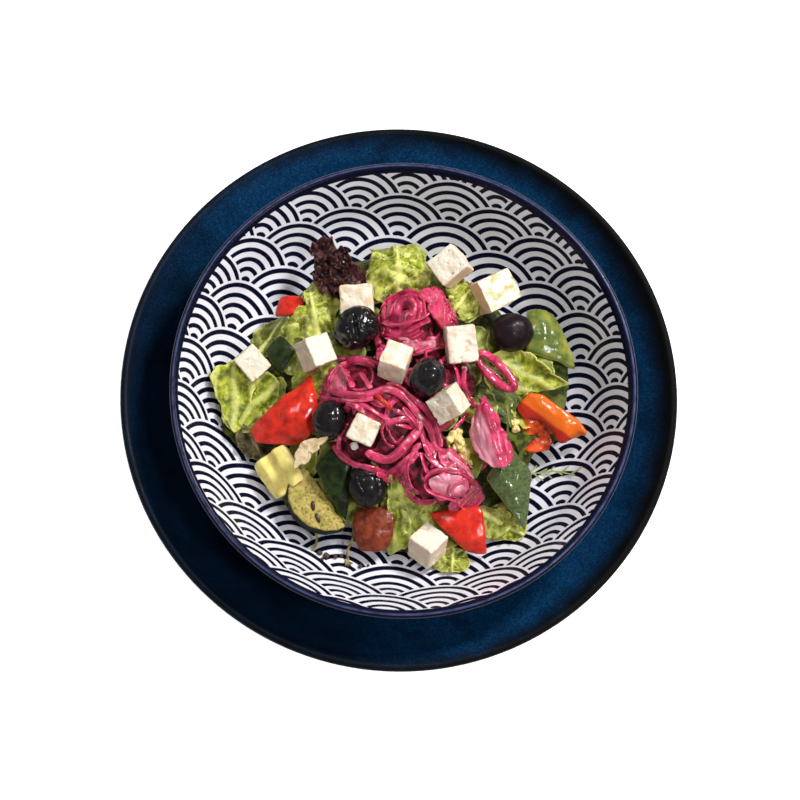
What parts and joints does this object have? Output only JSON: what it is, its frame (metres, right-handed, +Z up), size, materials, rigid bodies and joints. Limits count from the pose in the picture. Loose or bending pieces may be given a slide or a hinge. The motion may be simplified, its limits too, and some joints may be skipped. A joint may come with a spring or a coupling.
{
  "type": "greek salad in a patterned bowl on an underplate",
  "caption": "Greek salad of leaves, feta, black olives, peppers and pickled red onion in a round wave-patterned bowl that stands on a wider blue coupe underplate.",
  "frame": {"origin": "centre of the underplate's foot ring, at the height of the table", "axes": "+Z up, -Y towards the diner, +X to the diner's right"},
  "size_m": [0.2866, 0.2866, 0.075],
  "materials": {
    "blue_glaze": "glossy deep blue reactive glaze, nearly black at the rim",
    "wave_glaze": "glossy white glaze with navy wave pattern and navy lip",
    "leaf": "fresh green lettuce, slightly glossy",
    "dark_leaf": "frilly dark red lettuce",
    "onion": "wet magenta pickled onion",
    "feta": "crumbly white cheese",
    "olive": "oiled black olive",
    "red_pepper": "glossy red pepper",
    "orange_pepper": "glossy orange pepper",
    "roasted_pepper": "roasted brownish-red pepper",
    "green_pepper": "glossy green pepper",
    "cucumber": "very dark green skin",
    "courgette": "grilled yellow-green flesh, dark skin",
    "yellow_pepper": "pale yellow flesh"
  },
  "bodies": {
    "root": {"underplate": "blue_glaze", "bowl": "wave_glaze", "salad_leaves": "leaf", "dark_leaf": "dark_leaf", "pickled_onion": "onion", "onion_petal": "onion", "onion_ring": "onion", "feta_1": "feta", "feta_2": "feta", "feta_3": "feta", "feta_4": "feta", "feta_5": "feta", "feta_6": "feta", "feta_7": "feta", "feta_8": "feta", "feta_9": "feta", "feta_10": "feta", "olive_1": "olive", "olive_2": "olive", "olive_3": "olive", "olive_4": "olive", "olive_5": "olive", "red_pepper_left": "red_pepper", "red_pepper_front": "red_pepper", "red_pepper_back": "red_pepper", "orange_pepper_strip": "orange_pepper", "orange_pepper_fold": "red_pepper", "roasted_pepper": "roasted_pepper", "green_pepper_front": "green_pepper", "green_pepper_back": "green_pepper", "cucumber_front": "cucumber", "cucumber_back": "cucumber", "courgette_slice": "courgette", "yellow_pepper": "yellow_pepper"}
  },
  "joints": []
}
